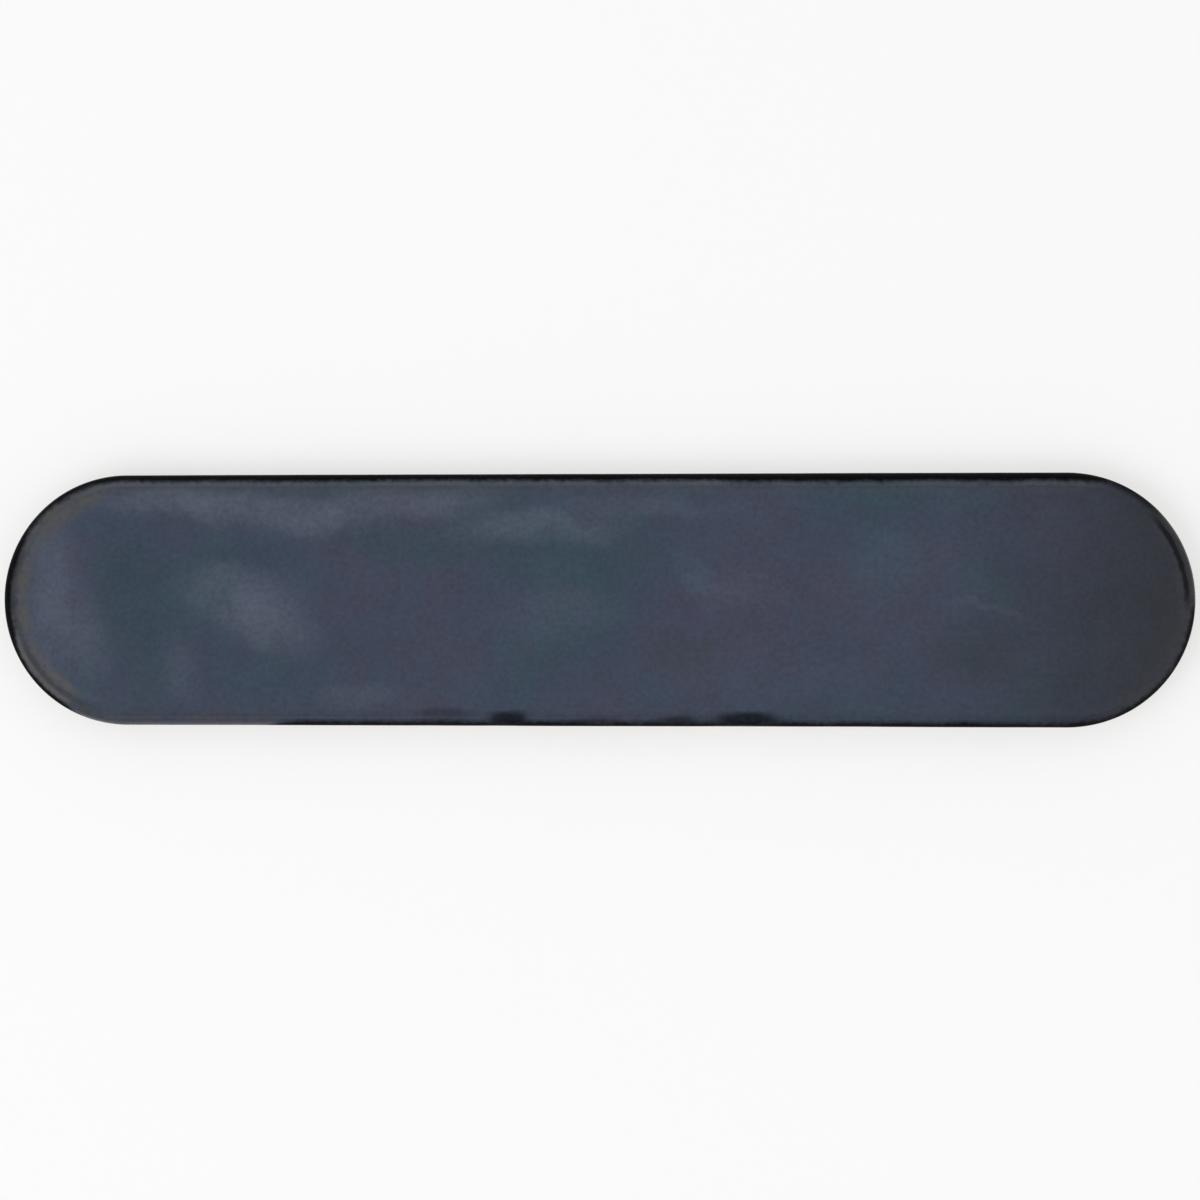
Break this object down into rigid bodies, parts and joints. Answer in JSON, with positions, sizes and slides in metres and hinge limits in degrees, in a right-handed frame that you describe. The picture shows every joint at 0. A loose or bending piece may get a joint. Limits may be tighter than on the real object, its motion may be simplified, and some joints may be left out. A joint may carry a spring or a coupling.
{
  "type": "wall tile",
  "caption": "Long pill-shaped wall tile with half-round ends, a softly uneven dark slate-blue glazed face, a rolled rim and shallow keying grooves pressed into its bare back.",
  "frame": {"origin": "middle of the flat back that is bonded to the wall, on its centre lines", "axes": "+X along the length, +Y across the width, +Z out of the glazed face; the tile lies on its back on z = 0"},
  "size_m": [0.3, 0.0636, 0.0092],
  "materials": {
    "glaze": "gloss"
  },
  "bodies": {
    "root": {"tile": "glaze"}
  },
  "joints": []
}
